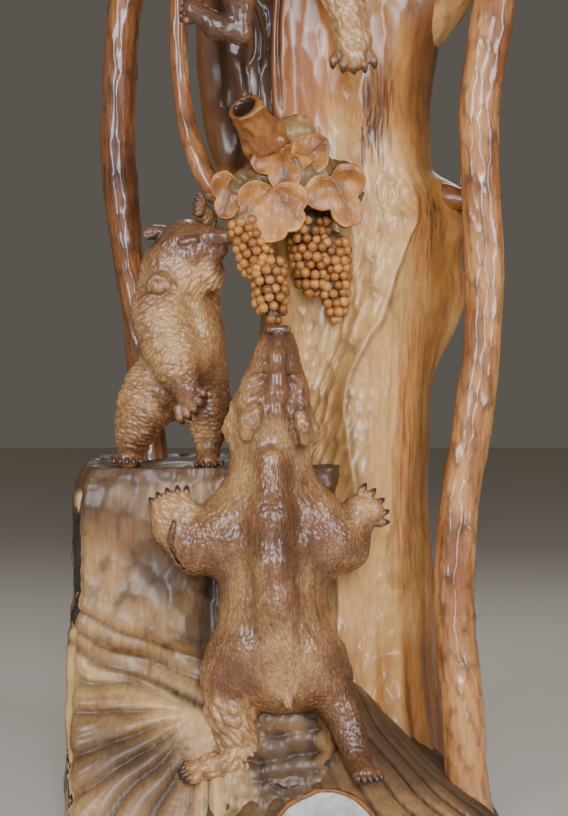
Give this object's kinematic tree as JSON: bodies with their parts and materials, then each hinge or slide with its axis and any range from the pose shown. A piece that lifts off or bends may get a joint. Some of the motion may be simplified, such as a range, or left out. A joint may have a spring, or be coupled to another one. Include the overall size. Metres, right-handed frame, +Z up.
{
  "type": "carved wooden bear group",
  "caption": "Tall free-standing wood carving of bears that reach for wild grapes on a vine-clad tree trunk, cut from one log with its fluted root base",
  "frame": {"origin": "on the flat underside of the root base, near the middle of its outline", "axes": "+Z up the trunk, -Y to the front that the picture shows, +X to the viewer's right"},
  "size_m": [0.8673, 0.7511, 2.0741],
  "materials": {
    "carved_wood": "carved, stained honey to brown and glossy varnished"
  },
  "bodies": {
    "root": {"bear_group_carving": "carved_wood"}
  },
  "joints": []
}
